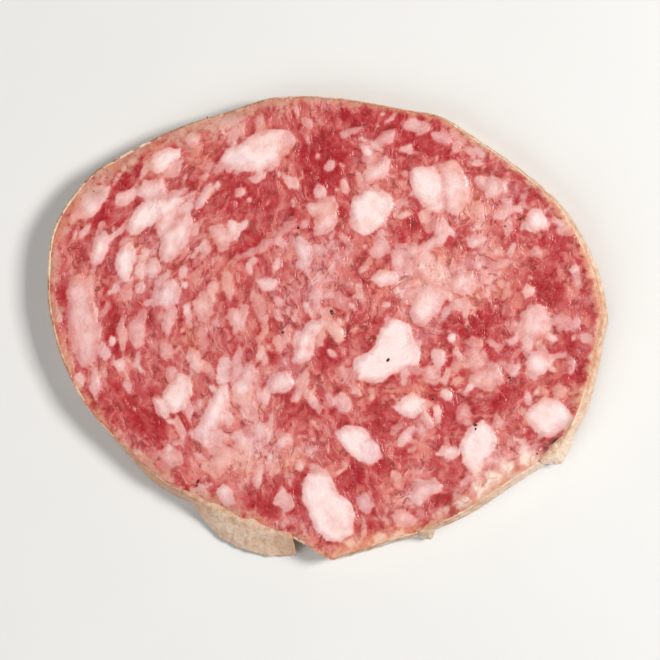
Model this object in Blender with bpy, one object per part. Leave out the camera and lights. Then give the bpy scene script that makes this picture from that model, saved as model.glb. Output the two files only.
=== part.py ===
"""One slice of coarse-cut cured sausage in its natural skin, lying flat on a cut face.

Metres, +Z up. The origin is the middle of the slice's box, on the plane that the slice rests on. +X runs along
the slice's longer width. The sausage was cut a little on the slant, so its side leans out towards the lower right,
where the skin shows from above. It shows at the lower left too, where it has slackened and stands away from the
shrunken meat. Beyond that it has come loose altogether, in a flap that ends in a tear.
"""

import math

import bmesh
import bpy
import numpy as np
from mathutils import Vector

MM = 0.001

THICKNESS = 3.6 * MM
SLANT = Vector((1.5 * MM, -0.45 * MM))  # how far the side leans out from the top face to the underside
EDGE_ROUND = 0.15 * MM  # the cut edge is this far inside the widest line of the skin
SLACK_INSET = 1.3 * MM  # the cut face stops this much sooner where the skin has slackened
SLACK_BEARING = math.radians(224)
SLACK_SPREAD = math.radians(22)
SIDE_BULGE = 0.12 * MM
SKIN_LIP = 0.08 * MM  # the skin's cut edge stands above the dried meat
RIM_FADE = 0.06  # the cut face's relief fades over this share of the way in from the edge
CURL = 0.9 * MM  # the slice curls up at two opposite edges as it dries
CURL_BEARING = math.radians(155)
FLAT_SHARE = 0.6  # the underside is flat out to this share of the way to the edge

FAT_RISE = 0.4 * MM  # the lean dries and shrinks, so that the fat stands out
FAT_STEEPNESS = 3  # how sharply a piece of fat rises at its border
CRAG_DEPTH = 0.08 * MM
KNIFE_WAVE = 0.07 * MM
KNIFE_SPACING = 4.2 * MM  # one knife wave follows another at 2 pi times this
KNIFE_WANDER = 19 * MM  # the waves bend to and fro over 2 pi times this
KNIFE_BEND = 1.7  # radians

AROUND = 208  # a multiple of four, so that a square grid fills the cut face
RIM_SHARES = (1.0, 0.985, 0.955)
UNDER_RINGS = 3
SIDE_ROWS = 4
CURVE_STEPS = 40  # points between two of the hand-placed points of the edge

FLAP_ROOT = 1.0 * MM  # a flap starts this far inside the side
FLAP_THICK = 0.6 * MM
FLAP_FALL = 1.3  # above 1, a flap falls more steeply further out
FLAP_RIPPLE = 0.12 * MM
FLAP_RIPPLE_TURN = (9.0, 2.0)  # how many radians of the ripple fit along a flap and down it
FLAP_GRID = (18, 4)
SHARP_ANGLE = math.radians(50)

# The outer edge of the skin, seen from above, anticlockwise from the right, in millimetres.
EDGE = [
    (36.0, 1.8), (34.7, 7.9), (31.0, 14.9), (25.6, 20.0), (19.5, 24.3), (14.5, 27.2), (7.6, 28.6), (0.0, 29.8),
    (-7.2, 29.7), (-12.6, 28.0), (-19.4, 25.8), (-26.2, 22.5), (-31.3, 18.9), (-35.2, 12.9), (-36.0, 6.7),
    (-35.6, 1.2), (-33.8, -5.0), (-31.2, -10.2), (-27.0, -15.5), (-22.6, -20.0), (-17.4, -22.7), (-11.0, -25.0),
    (-4.8, -26.8), (-0.4, -29.2), (2.4, -29.3), (8.8, -27.4), (12.6, -26.3), (18.2, -23.8), (24.3, -19.8),
    (29.2, -16.4), (32.4, -12.4), (34.4, -6.8), (35.5, -1.2),
]

# The largest pieces of fat in the cut face: middle x and y, length and width in millimetres, and turn in degrees.
FAT = [
    (5.4, 15.4, 7.6, 5.4, 78), (7.4, -2.9, 9.6, 5.8, 38), (-0.6, -22.2, 9.2, 6.4, -58), (-9.3, 22.2, 8.4, 4.2, 24),
    (14.1, 18.5, 7.6, 6.8, -50), (19.5, -15.0, 5.8, 5.4, 40), (3.9, -15.0, 6.6, 3.5, -40),
    (27.7, -11.3, 5.6, 4.8, 20), (26.5, -4.6, 4.4, 3.9, 70), (10.3, -9.8, 4.4, 3.5, 0),
    (-19.4, -8.8, 5.8, 4.1, 68), (-14.2, -10.3, 7.6, 3.0, 64),
    (-20.9, 21.5, 4.7, 2.6, 14), (-26.2, 8.6, 4.7, 2.3, 84), (-29.4, 9.8, 5.2, 2.8, 64), (-31.4, 1.1, 12.0, 3.9, -78),
    (-23.4, 16.0, 7.0, 5.4, 32), (-19.7, 11.0, 8.4, 4.8, 64), (-20.4, 4.6, 3.5, 3.5, 0), (-3.6, 9.8, 4.6, 2.6, 82),
    (-14.2, 11.8, 4.4, 2.5, -66), (26.2, 14.0, 3.4, 3.0, 60), (13.1, 3.1, 7.8, 6.4, 50), (-17.2, -3.6, 3.9, 2.9, -58),
    (-1.8, -0.9, 6.4, 2.6, 52), (-6.8, -6.8, 3.6, 3.0, 20), (-0.3, 15.4, 4.8, 4.2, 0), (21.0, 18.2, 3.6, 3.3, 0),
]

# Where the skin has come loose: first and last bearing in degrees, how many degrees further round the torn end
# lies at the free edge, the heights of the root and the free edge in millimetres, and how far out the free edge
# lies, in millimetres, at these shares of the length.
LOOSE_SKIN = {
    "long flap": (
        (228.5, 258.8), 4.2, (3.1, 0.55),
        [
            (0, 0.1), (0.1, 0.6), (0.2, 1.3), (0.3, 2.05), (0.45, 2.95), (0.6, 3.3), (0.72, 3.3), (0.85, 2.95),
            (1, 1.95),
        ],
    ),
    "tatter": ((293.5, 298.0), 0.0, (1.9, 0.8), [(0, 0.05), (0.5, 0.75), (1, 0.05)]),
    "corner": ((330.0, 337.5), 0.0, (2.0, 0.9), [(0, 0.15), (0.12, 0.8), (0.35, 0.57), (0.6, 0.35), (1, 0.15)]),
}

CRAG_WAVES = 14
CRAG_LENGTHS = (3.2 * MM, 9.0 * MM)
SEED = 27


def closed_curve(points, count):
    """`count` points, evenly spaced along the closed Catmull-Rom curve through these points, from the first."""
    p = np.array(points) * MM
    t = (np.arange(CURVE_STEPS) / CURVE_STEPS)[:, None]
    spans = []
    for i in range(len(p)):
        a, b, c, d = (p[(i + k) % len(p)] for k in (-1, 0, 1, 2))
        bend = (2 * a - 5 * b + 4 * c - d) * t**2 + (3 * b - a - 3 * c + d) * t**3
        spans.append(0.5 * (2 * b + (c - a) * t + bend))
    line = np.concatenate(spans)
    line = line[np.argsort(np.unwrap(np.arctan2(line[:, 1], line[:, 0])))]
    length = np.concatenate([[0], np.cumsum(np.linalg.norm(np.diff(line, axis=0), axis=1))])
    total = length[-1] + np.linalg.norm(line[0] - line[-1])
    wanted = np.arange(count) / count * total
    ends = np.append(length, total)
    looped = np.vstack([line, line[:1]])
    return np.column_stack([np.interp(wanted, ends, looped[:, k]) for k in (0, 1)])


def outward(line):
    """The unit normal of a closed anticlockwise line at each of its points."""
    along = np.roll(line, -1, axis=0) - np.roll(line, 1, axis=0)
    normal = np.column_stack([along[:, 1], -along[:, 0]])
    return normal / np.linalg.norm(normal, axis=1)[:, None]


def side_lines(edge):
    """The edges of the top face and of the underside, inside the widest line because the side leans."""
    normal = outward(edge)
    lean = normal @ np.array(SLANT)
    bearing = np.arctan2(edge[:, 1], edge[:, 0])
    off = np.angle(np.exp(1j * (bearing - SLACK_BEARING)))
    slack = np.exp(-((off / SLACK_SPREAD) ** 2))
    top = edge - normal * (EDGE_ROUND + np.maximum(lean, 0) + SLACK_INSET * slack)[:, None]
    under = edge - normal * (EDGE_ROUND + np.maximum(-lean, 0) * (1 - slack))[:, None]
    return top, under


def lift(share, bearing):
    """How far the curl raises a point at this share of the way to the edge."""
    outer = np.clip((share - FLAT_SHARE) / (1 - FLAT_SHARE), 0, 1)
    return CURL * outer**2 * np.cos(bearing - CURL_BEARING) ** 2


def fat_relief(points):
    """Rounded rises where the large pieces of fat cross the cut face."""
    rise = np.zeros(len(points))
    for x, y, long, wide, turn in FAT:
        c, s = math.cos(math.radians(turn)), math.sin(math.radians(turn))
        d = points - np.array([x, y]) * MM
        u = (d[:, 0] * c + d[:, 1] * s) / (long / 2 * MM)
        v = (d[:, 1] * c - d[:, 0] * s) / (wide / 2 * MM)
        rise = np.maximum(rise, 1 / (1 + (u**2 + v**2) ** FAT_STEEPNESS))
    return FAT_RISE * rise


def crags(points):
    """The uneven torn texture of the minced lean, and the long waves that the knife leaves."""
    draw = np.random.default_rng(SEED)
    height = np.zeros(len(points))
    for _ in range(CRAG_WAVES):
        bearing, phase = draw.uniform(0, 2 * math.pi, 2)
        length = draw.uniform(*CRAG_LENGTHS)
        height += np.sin(2 * math.pi * (points @ np.array([math.cos(bearing), math.sin(bearing)])) / length + phase)
    knife = np.sin(points[:, 1] / KNIFE_SPACING + KNIFE_BEND * np.sin(points[:, 0] / KNIFE_WANDER))
    return CRAG_DEPTH * height / math.sqrt(CRAG_WAVES / 2) + KNIFE_WAVE * knife


def top_heights(points, share):
    """Height of the top face. Its relief fades at the edge, where the skin makes a low lip."""
    bearing = np.arctan2(points[:, 1], points[:, 0])
    inside = np.clip((1 - share) / RIM_FADE, 0, 1)
    relief = (fat_relief(points) + crags(points)) * inside + SKIN_LIP * (1 - inside)
    return THICKNESS + lift(share, bearing) + relief


def underside_heights(points, share):
    return lift(share, np.arctan2(points[:, 1], points[:, 0]))


def ring(line, share, height):
    """A ring of 3-D points at a share of the way from the middle of the slice to a line."""
    flat = line * share
    return np.column_stack([flat, height(flat, share)])


def share_of(points, line):
    """How far each point is on its way from the middle to a line, from 0 to 1."""
    bearing = np.arctan2(line[:, 1], line[:, 0])
    radius = np.hypot(line[:, 0], line[:, 1])
    reach = np.interp(np.arctan2(points[:, 1], points[:, 0]), bearing, radius, period=2 * math.pi)
    return np.hypot(points[:, 0], points[:, 1]) / reach


def slice_rings(edge, top, under):
    """The rings of the slice's surface, from the flat underside up the side and in over the rim of the top."""
    rings = [ring(under, share, underside_heights) for share in np.linspace(FLAT_SHARE, 1, UNDER_RINGS + 1)]
    foot, head = rings[-1], ring(top, 1.0, top_heights)
    normal = np.column_stack([outward(edge), np.zeros(len(edge))])
    for row in range(1, SIDE_ROWS):
        up = row / SIDE_ROWS
        bulge = (EDGE_ROUND + SIDE_BULGE) * math.sin(math.pi * up)
        rings.append(foot * (1 - up) + head * up + normal * bulge)
    return rings + [ring(top, share, top_heights) for share in RIM_SHARES]


def extrude_to(bm, loop, points):
    """Extrudes a closed loop of vertices to these points, and returns the new loop."""
    edges = [bm.edges.get((loop[i], loop[(i + 1) % len(loop)])) for i in range(len(loop))]
    made = bmesh.ops.extrude_edge_only(bm, edges=edges)["geom"]
    fresh = {v for v in made if isinstance(v, bmesh.types.BMVert)}
    loop = [next(e.other_vert(v) for e in v.link_edges if e.other_vert(v) in fresh) for v in loop]
    for vertex, point in zip(loop, points):
        vertex.co = point
    return loop


def fill_cut_face(bm, loop, top):
    """Fills the top face with a square grid of faces, and gives it its relief."""
    known = set(bm.verts)
    side = len(loop) // 4
    opposite = [i for i in range(len(loop)) if (i // side) % 2 == 0]
    edges = [bm.edges.get((loop[i], loop[(i + 1) % len(loop)])) for i in opposite]
    bmesh.ops.grid_fill(bm, edges=edges, use_interp_simple=True)
    fresh = [v for v in bm.verts if v not in known]
    flat = np.array([v.co[:2] for v in fresh])
    for vertex, height in zip(fresh, top_heights(flat, share_of(flat, top))):
        vertex.co.z = height


def body_of_slice(edge):
    """The slice as one closed mesh: its flat underside extruded ring by ring, and the cut face filled."""
    top, under = side_lines(edge)
    mesh = bpy.data.meshes.new("slice")
    bm = bmesh.new()
    rings = slice_rings(edge, top, under)
    loop = [bm.verts.new(p) for p in rings[0]]
    bm.faces.new(list(reversed(loop)))
    for points in rings[1:]:
        loop = extrude_to(bm, loop, points)
    fill_cut_face(bm, loop, top)
    bmesh.ops.recalc_face_normals(bm, faces=bm.faces)
    bm.to_mesh(mesh)
    bm.free()
    slice_object = bpy.data.objects.new("slice", mesh)
    bpy.context.scene.collection.objects.link(slice_object)
    return slice_object


def skin_flap(name, edge, ends, swing, heights, reach, group):
    """A piece of skin that has come away from the side: a grid from a line inside the side to its free edge.

    Its values are those of one row of LOOSE_SKIN.
    """
    first, last = ends
    root_height, free_height = heights[0] * MM, heights[1] * MM
    shares, reaches = zip(*reach)
    normal = outward(edge)
    bearing = np.degrees(np.unwrap(np.arctan2(edge[:, 1], edge[:, 0])))
    bm = bmesh.new()
    bmesh.ops.create_grid(bm, x_segments=FLAP_GRID[0], y_segments=FLAP_GRID[1], size=0.5)
    for v in bm.verts:
        s, t = v.co.x + 0.5, v.co.y + 0.5
        at = first + (last + swing * t - first) * s
        side = np.array([np.interp(at, bearing, edge[:, k]) for k in (0, 1)])
        out = np.array([np.interp(at, bearing, normal[:, k]) for k in (0, 1)])
        place = side + out * (-FLAP_ROOT + (np.interp(s, shares, reaches) * MM + FLAP_ROOT) * t)
        ripple = FLAP_RIPPLE * math.sin(FLAP_RIPPLE_TURN[0] * s + FLAP_RIPPLE_TURN[1] * t) * t
        v.co = (place[0], place[1], root_height + (free_height - root_height) * t**FLAP_FALL + ripple)
    bmesh.ops.recalc_face_normals(bm, faces=bm.faces)
    mesh = bpy.data.meshes.new(name)
    bm.to_mesh(mesh)
    bm.free()
    flap = bpy.data.objects.new(name, mesh)
    group.objects.link(flap)
    shell = flap.modifiers.new("skin", "SOLIDIFY")
    shell.thickness = FLAP_THICK
    shell.offset = 0


def join(body, group):
    """Joins the flaps in a collection to the body for good, with one Boolean."""
    union = body.modifiers.new("flaps", "BOOLEAN")
    union.operation = "UNION"
    union.solver = "EXACT"
    union.operand_type = "COLLECTION"
    union.collection = group
    bpy.context.view_layer.objects.active = body
    bpy.ops.object.modifier_apply(modifier=union.name)
    for flap in list(group.objects):
        bpy.data.objects.remove(flap)
    bpy.data.collections.remove(group)


def cured_meat():
    """The base finish of the slice: lean and fat together, slightly moist."""
    material = bpy.data.materials.new("cured_meat")
    material.use_nodes = True
    shader = material.node_tree.nodes["Principled BSDF"]
    shader.inputs["Base Color"].default_value = (0.58, 0.16, 0.15, 1)
    shader.inputs["Roughness"].default_value = 0.42
    shader.inputs["Metallic"].default_value = 0.0
    return material


def main():
    for old in list(bpy.data.objects):
        bpy.data.objects.remove(old)
    edge = closed_curve(EDGE, AROUND)
    body = body_of_slice(edge)
    group = bpy.data.collections.new("loose skin")
    bpy.context.scene.collection.children.link(group)
    for name, (ends, swing, heights, reach) in LOOSE_SKIN.items():
        skin_flap(name, edge, ends, swing, heights, reach, group)
    join(body, group)
    body.data.materials.append(cured_meat())
    body.data.shade_smooth()
    body.data.set_sharp_from_angle(angle=SHARP_ANGLE)


main()
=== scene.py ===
"""Looks of one slice of coarse-cut cured sausage in its natural skin, lying flat on a pale floor.

Everything is in metres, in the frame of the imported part: +X along the longer width, +Z up, underside at 0.
The slice is a meat body with its fat, lean and dried rim, a skin round the side with what has come loose from
it, and the cracked pepper in the cut faces. The outline, slant and curl repeat the part's own named sizes.
"""

import math

import bpy
import numpy as np
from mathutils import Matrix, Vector


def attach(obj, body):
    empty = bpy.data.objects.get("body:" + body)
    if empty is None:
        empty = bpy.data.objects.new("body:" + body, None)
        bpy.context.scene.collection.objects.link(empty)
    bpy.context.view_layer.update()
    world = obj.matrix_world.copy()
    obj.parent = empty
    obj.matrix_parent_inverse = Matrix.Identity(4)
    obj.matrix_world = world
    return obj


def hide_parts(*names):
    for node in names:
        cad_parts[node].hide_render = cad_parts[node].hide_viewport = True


MM = 0.001

# The part's own sizes.
THICKNESS = 3.6 * MM
SLANT = (1.5 * MM, -0.45 * MM)
EDGE_ROUND = 0.15 * MM
SLACK_INSET = 1.3 * MM
SIDE_BULGE = 0.12 * MM
CURL = 0.9 * MM
CURL_BEARING = math.radians(155)
FLAT_SHARE = 0.6
FACE_EDGE = 0.985
RIM_FADE = 0.06

# What lies at one place of the rim: its bearing and how far it spreads from there, in degrees.
SLACK = (224, 22)
GREY_RIM = (138, 34)
TAN_RIM = (225, 25)
CREAM_BORDER = (317, 17)
GOLDEN_BELOW = (280, 17)
GOLDEN_BESIDE = (18, 38)
MOIST_CORNER = (332, 6)
PALE_SKIN = (328, 13)

# Stretches of the skin: the bearings in degrees between which each sets in, and those from its end back to
# where it is full.
SUNK_SKIN = ((230, 238), (262, 257))
# The second stretch is darker tan on the lower left: partly the skin's own tan, partly painted shade on the
# side away from the key light.
TAN_AND_SHADE_SKIN = ((185, 205), (250, 236))

# The outer edge of the skin, seen from above, anticlockwise from the right, in millimetres.
EDGE = [
    (36.0, 1.8), (34.7, 7.9), (31.0, 14.9), (25.6, 20.0), (19.5, 24.3), (14.5, 27.2), (7.6, 28.6),
    (0.0, 29.8), (-7.2, 29.7), (-12.6, 28.0), (-19.4, 25.8), (-26.2, 22.5), (-31.3, 18.9), (-35.2, 12.9),
    (-36.0, 6.7), (-35.6, 1.2), (-33.8, -5.0), (-31.2, -10.2), (-27.0, -15.5), (-22.6, -20.0),
    (-17.4, -22.7), (-11.0, -25.0), (-4.8, -26.8), (-0.4, -29.2), (2.4, -29.3), (8.8, -27.4),
    (12.6, -26.3), (18.2, -23.8), (24.3, -19.8), (29.2, -16.4), (32.4, -12.4), (34.4, -6.8), (35.5, -1.2),
]

# Where the skin has come loose: first and last bearing in degrees, how many degrees further round the torn
# end lies at the free edge, the height of the free edge in millimetres, and how far out it lies, in
# millimetres, at these shares of the length.
LOOSE_SKIN = {
    "loose_flap": (
        (228.5, 258.8), 4.2, 0.6,
        [
            (0, 0.05), (0.1, 0.5), (0.2, 1.2), (0.3, 1.95), (0.45, 2.85), (0.6, 3.15), (0.72, 3.15),
            (0.85, 2.8), (1, 1.8),
        ],
    ),
    "skin_tatter": ((293.5, 298.0), 0.0, 1.1, [(0, 0.05), (0.5, 0.65), (1, 0.05)]),
    "skin_corner": (
        (327.0, 338.0), 0.0, 1.5,
        [(0, 0.05), (0.2, 0.2), (0.3, 0.8), (0.36, 0.85), (0.45, 0.5), (0.7, 0.25), (1, 0.05)],
    ),
}

# Pieces of fat in the upper cut face: how white each is, from 0 to 1, and its outline in millimetres.
FAT = [
    (0.85, [(-14.1, 21.3), (-13.3, 22.6), (-11.5, 23.7), (-9.7, 24.8), (-7.9, 25.7), (-5.9, 25.3),
        (-6.1, 23.6), (-6.6, 21.5), (-7.7, 20.3), (-11.5, 20.1)]),
    (0.60, [(-10.4, 19.5), (-9.4, 20.1), (-7.8, 20.1), (-8.1, 19.2), (-9.7, 18.6)]),
    (1.00, [(-23.3, 20.9), (-22.7, 22.2), (-20.7, 23.0), (-18.9, 23.1), (-18.9, 22.1), (-20.5, 20.2),
        (-22.1, 19.9)]),
    (0.75, [(-18.4, 24.1), (-17.5, 25.3), (-16.6, 24.8), (-16.6, 23.6), (-17.5, 23.1)]),
    (0.65, [(-28.0, 17.9), (-28.4, 16.5), (-29.7, 15.1), (-31.4, 14.3), (-32.9, 13.4), (-33.0, 14.7),
        (-31.1, 15.9), (-29.6, 17.2)]),
    (0.60, [(-24.4, 17.3), (-23.6, 19.0), (-21.4, 19.2), (-20.7, 17.9), (-21.4, 16.5), (-23.2, 16.4)]),
    (0.85, [(-25.7, 13.6), (-24.5, 15.6), (-22.0, 17.1), (-19.5, 17.2), (-18.6, 16.3), (-20.3, 14.6),
        (-23.0, 13.1), (-25.1, 12.1)]),
    (0.55, [(-21.4, 11.9), (-19.7, 14.0), (-17.7, 15.4), (-17.3, 13.8), (-18.1, 11.1), (-19.9, 8.8),
        (-21.4, 8.8)]),
    (0.60, [(-17.1, 15.8), (-16.0, 18.1), (-15.0, 18.8), (-15.0, 17.5), (-16.2, 15.8), (-17.1, 14.8)]),
    (1.00, [(-27.2, 8.3), (-26.6, 10.7), (-25.5, 11.2), (-24.8, 10.4), (-24.8, 8.7), (-25.5, 7.2),
        (-25.8, 6.2), (-26.7, 6.6)]),
    (0.70, [(-23.6, 8.0), (-22.8, 9.3), (-21.9, 9.1), (-21.5, 8.0), (-22.2, 6.5), (-23.1, 6.6)]),
    (0.60, [(-25.0, 5.6), (-24.2, 6.3), (-23.4, 5.7), (-23.6, 4.7), (-24.5, 4.6)]),
    (0.70, [(-30.7, 9.4), (-30.0, 11.6), (-28.6, 12.8), (-28.0, 12.0), (-28.2, 10.4), (-28.9, 8.5),
        (-30.0, 7.9), (-30.7, 8.5)]),
    (0.30, [(-33.4, 3.4), (-33.1, 6.4), (-31.7, 6.9), (-30.1, 5.6), (-29.7, 2.9), (-29.1, 0.1),
        (-29.3, -2.6), (-30.3, -4.5), (-31.7, -4.7), (-32.7, -2.4), (-33.2, 0.4)]),
    (0.80, [(-22.0, 4.8), (-21.2, 6.2), (-19.9, 6.4), (-18.9, 5.2), (-19.2, 3.5), (-20.4, 2.6),
        (-21.6, 3.4)]),
    (0.45, [(-21.4, 2.1), (-20.4, 2.4), (-19.9, 0.9), (-20.4, -0.9), (-21.2, -0.1)]),
    (0.40, [(-25.5, 0.9), (-24.5, 1.6), (-23.8, 0.3), (-23.6, -1.7), (-24.5, -2.6), (-25.5, -1.4)]),
    (0.35, [(-26.9, 0.9), (-26.1, 1.3), (-25.7, -0.7), (-26.0, -3.2), (-26.9, -2.4)]),
    (0.65, [(-18.3, -3.5), (-17.9, -2.2), (-16.5, -2.7), (-16.0, -4.5), (-16.8, -5.5), (-17.8, -4.9)]),
    (0.60, [(-30.7, -6.4), (-30.2, -5.5), (-29.2, -5.7), (-29.1, -7.7), (-29.8, -8.6), (-30.5, -7.7)]),
    (0.85, [(-21.4, -8.5), (-20.5, -6.8), (-19.2, -5.5), (-17.8, -6.2), (-17.4, -8.2), (-18.3, -9.9),
        (-19.7, -10.8), (-20.8, -9.8)]),
    (0.90, [(-17.1, -13.0), (-16.4, -11.3), (-15.4, -9.3), (-14.3, -7.6), (-13.1, -6.8), (-12.7, -8.6),
        (-13.7, -11.0), (-14.6, -13.0), (-15.7, -14.7), (-16.9, -14.0)]),
    (0.60, [(-11.4, -6.0), (-10.8, -4.2), (-9.8, -4.3), (-9.4, -6.3), (-10.0, -7.9), (-11.0, -7.6)]),
    (0.70, [(-7.9, -7.0), (-6.9, -5.4), (-5.4, -5.1), (-4.5, -6.6), (-5.6, -8.1), (-7.1, -8.2)]),
    (0.70, [(-4.6, -4.0), (-4.3, -2.0), (-3.9, -0.5), (-2.8, 1.0), (-1.0, 1.5), (0.6, 1.2), (1.6, 0.0),
        (1.7, -1.3), (0.9, -1.7), (0.3, -0.6), (-0.7, 0.3), (-1.7, -0.6), (-2.0, -2.3), (-2.5, -3.9),
        (-3.4, -4.3)]),
    (0.35, [(0.9, -5.0), (1.3, -4.9), (2.2, -6.0), (3.2, -7.0), (4.0, -8.4), (3.5, -8.6), (2.7, -7.4),
        (1.7, -6.4)]),
    (0.10, [(-12.8, 8.6), (-12.3, 9.4), (-9.5, 10.3), (-7.3, 12.0), (-4.9, 14.0), (-4.4, 13.4),
        (-6.8, 11.1), (-9.2, 9.5)]),
    (0.85, [(-4.6, 10.9), (-3.8, 11.9), (-2.5, 10.9), (-2.3, 8.8), (-3.1, 7.4), (-4.0, 8.0)]),
    (0.45, [(-3.1, 15.7), (-1.6, 16.6), (0.5, 16.9), (1.2, 15.7), (0.4, 14.1), (-1.5, 13.8),
        (-2.6, 14.5)]),
    (1.00, [(3.0, 16.5), (4.3, 17.9), (6.1, 18.2), (7.7, 17.3), (8.2, 16.0), (7.4, 14.6), (6.5, 12.9),
        (4.1, 12.0), (3.2, 13.0), (2.8, 15.1)]),
    (0.55, [(4.1, 20.1), (5.6, 21.2), (7.2, 22.2), (7.9, 21.5), (7.4, 20.0), (6.1, 19.0), (4.5, 18.8)]),
    (0.85, [(10.0, 20.1), (10.9, 20.8), (13.1, 21.0), (14.1, 19.6), (14.4, 17.4), (13.8, 15.1),
        (12.6, 15.1), (11.3, 16.5), (10.2, 18.3)]),
    (0.60, [(13.7, 21.2), (15.5, 21.7), (16.9, 20.8), (17.5, 18.7), (17.5, 16.5), (16.3, 14.8),
        (14.6, 15.1), (14.4, 17.7)]),
    (0.50, [(19.5, 18.2), (20.5, 19.6), (22.0, 19.1), (22.5, 17.7), (20.9, 16.5), (19.8, 16.9)]),
    (0.85, [(24.7, 13.8), (25.5, 15.2), (26.8, 15.4), (27.7, 14.3), (27.2, 12.8), (25.9, 12.4),
        (24.9, 12.9)]),
    (0.55, [(12.9, 14.8), (13.9, 14.2), (15.1, 11.9), (14.3, 10.7), (11.6, 9.8), (9.3, 9.0), (9.7, 10.0),
        (12.0, 10.9), (13.5, 11.9), (12.9, 13.5)]),
    (0.80, [(4.8, 6.4), (6.5, 7.5), (8.7, 7.5), (8.6, 6.3), (6.6, 5.5)]),
    (0.60, [(10.1, 2.6), (10.8, 4.6), (12.4, 5.8), (14.9, 5.7), (15.1, 4.1), (13.9, 2.2), (12.4, 0.7),
        (10.8, 1.0)]),
    (1.00, [(2.9, -4.2), (4.2, -3.2), (5.6, -2.0), (6.4, 0.3), (8.2, 1.4), (10.1, 0.7), (10.5, -0.9),
        (11.4, -2.8), (11.2, -4.7), (9.6, -4.9), (7.8, -5.5), (6.6, -6.8), (5.1, -6.9), (3.5, -6.1)]),
    (1.00, [(7.8, -9.8), (9.3, -8.6), (10.8, -7.7), (12.3, -8.8), (12.1, -10.0), (10.8, -11.3),
        (9.5, -11.0)]),
    (0.55, [(12.0, -9.7), (13.1, -11.3), (13.3, -12.4), (12.6, -12.6), (11.6, -11.3)]),
    (0.90, [(0.8, -12.8), (2.1, -12.0), (4.0, -12.4), (5.0, -13.7), (6.2, -14.8), (6.6, -16.2),
        (5.2, -17.4), (3.8, -16.7), (2.1, -15.4), (1.2, -14.2)]),
    (0.95, [(-3.7, -19.8), (-2.7, -18.3), (-0.9, -17.7), (0.3, -18.9), (0.9, -20.3), (2.4, -21.8),
        (3.2, -23.7), (2.6, -26.0), (1.2, -27.1), (-0.6, -26.8), (-2.1, -24.9), (-2.7, -23.2),
        (-3.5, -21.9)]),
    (1.00, [(16.6, -14.5), (18.0, -12.2), (19.7, -11.7), (21.0, -12.8), (21.3, -14.1), (20.4, -16.1),
        (19.1, -17.8), (18.0, -18.4), (16.9, -16.8)]),
    (0.80, [(13.4, -15.9), (14.3, -14.8), (16.3, -14.6), (16.5, -16.0), (14.9, -16.6)]),
    (1.00, [(24.8, -11.0), (25.6, -9.4), (27.1, -8.7), (28.8, -8.9), (30.2, -10.0), (30.9, -10.9),
        (29.9, -12.2), (28.7, -13.1), (27.4, -13.5), (25.9, -12.9)]),
    (0.85, [(24.9, -4.1), (25.6, -2.7), (26.7, -2.6), (27.4, -3.4), (27.9, -4.6), (27.1, -5.6),
        (25.9, -5.9)]),
    (0.35, [(17.6, -6.0), (19.6, -4.7), (21.3, -4.4), (22.1, -5.6), (21.3, -7.3), (19.6, -7.9),
        (18.3, -7.2)]),
    (0.15, [(17.1, -1.6), (18.1, -0.7), (19.3, -1.1), (19.5, -2.1), (18.3, -2.6)]),
    (0.45, [(28.2, -7.5), (29.2, -6.8), (30.1, -7.5), (29.9, -8.5), (28.7, -8.5)]),
    (0.40, [(29.9, -4.1), (30.5, -3.1), (31.2, -3.9), (31.0, -5.2), (30.4, -5.9)]),
    (0.75, [(12.8, -3.3), (13.3, -2.2), (14.5, -2.5), (14.5, -4.0), (13.7, -5.0)]),
    (0.60, [(-2.7, 4.5), (-1.8, 5.4), (-0.9, 4.2), (-1.5, 2.6), (-2.3, 3.3)]),
    (0.80, [(-9.3, 6.2), (-7.9, 6.9), (-6.5, 6.3), (-7.1, 5.1), (-8.5, 5.0)]),
    (0.50, [(-15.4, 13.0), (-13.9, 13.5), (-12.7, 11.9), (-12.9, 10.3), (-14.0, 9.9), (-15.0, 11.5)]),
    (0.65, [(-16.7, 10.2), (-15.8, 11.0), (-14.9, 10.2), (-15.8, 9.3)]),
    (0.50, [(-15.5, -17.1), (-14.3, -15.5), (-12.7, -15.8), (-12.7, -17.5), (-14.1, -18.5)]),
    (0.65, [(-14.5, -20.5), (-13.5, -19.5), (-12.3, -20.4), (-11.9, -22.1), (-12.9, -22.5),
        (-13.9, -21.7)]),
    (0.50, [(-7.1, -22.0), (-6.6, -20.5), (-5.0, -20.8), (-4.5, -22.5), (-5.8, -23.3)]),
    (0.35, [(-22.0, -15.5), (-20.4, -14.9), (-18.9, -15.5), (-18.6, -17.1), (-20.4, -17.5)]),
    (0.60, [(-10.2, -12.9), (-9.4, -11.6), (-7.9, -12.0), (-7.9, -13.3), (-8.9, -14.2)]),
    (0.65, [(-6.9, -14.0), (-6.0, -13.1), (-4.8, -13.8), (-5.2, -14.9), (-6.4, -14.9)]),
    (0.40, [(-3.9, -7.6), (-2.3, -7.7), (-0.7, -9.7), (-1.1, -10.8), (-2.7, -9.4)]),
    (0.60, [(10.1, -21.0), (10.8, -19.6), (12.6, -19.0), (13.4, -18.8), (14.8, -19.8), (13.6, -20.8),
        (12.0, -21.4), (11.4, -22.7)]),
    (0.45, [(3.3, -21.4), (4.5, -20.6), (5.7, -22.1), (5.1, -23.3), (3.5, -22.7)]),
    (0.45, [(7.7, -23.5), (9.3, -22.7), (11.0, -23.9), (10.5, -25.1), (8.7, -25.1)]),
    (0.75, [(17.5, -20.2), (18.3, -19.4), (19.4, -20.2), (19.7, -21.0), (18.4, -21.1)]),
    (0.45, [(-14.7, 26.6), (-12.7, 27.4), (-10.8, 27.2), (-12.0, 26.0), (-13.9, 25.6)]),
    (0.45, [(5.9, 24.2), (7.2, 25.3), (8.4, 25.4), (8.2, 24.2), (6.9, 23.5), (6.1, 23.5)]),
    (0.35, [(1.2, 25.1), (2.8, 25.5), (4.3, 25.9), (3.2, 24.9), (1.8, 24.4)]),
    (0.35, [(10.5, 26.2), (11.5, 26.8), (12.7, 26.2), (12.4, 25.0), (11.1, 25.0)]),
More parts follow.
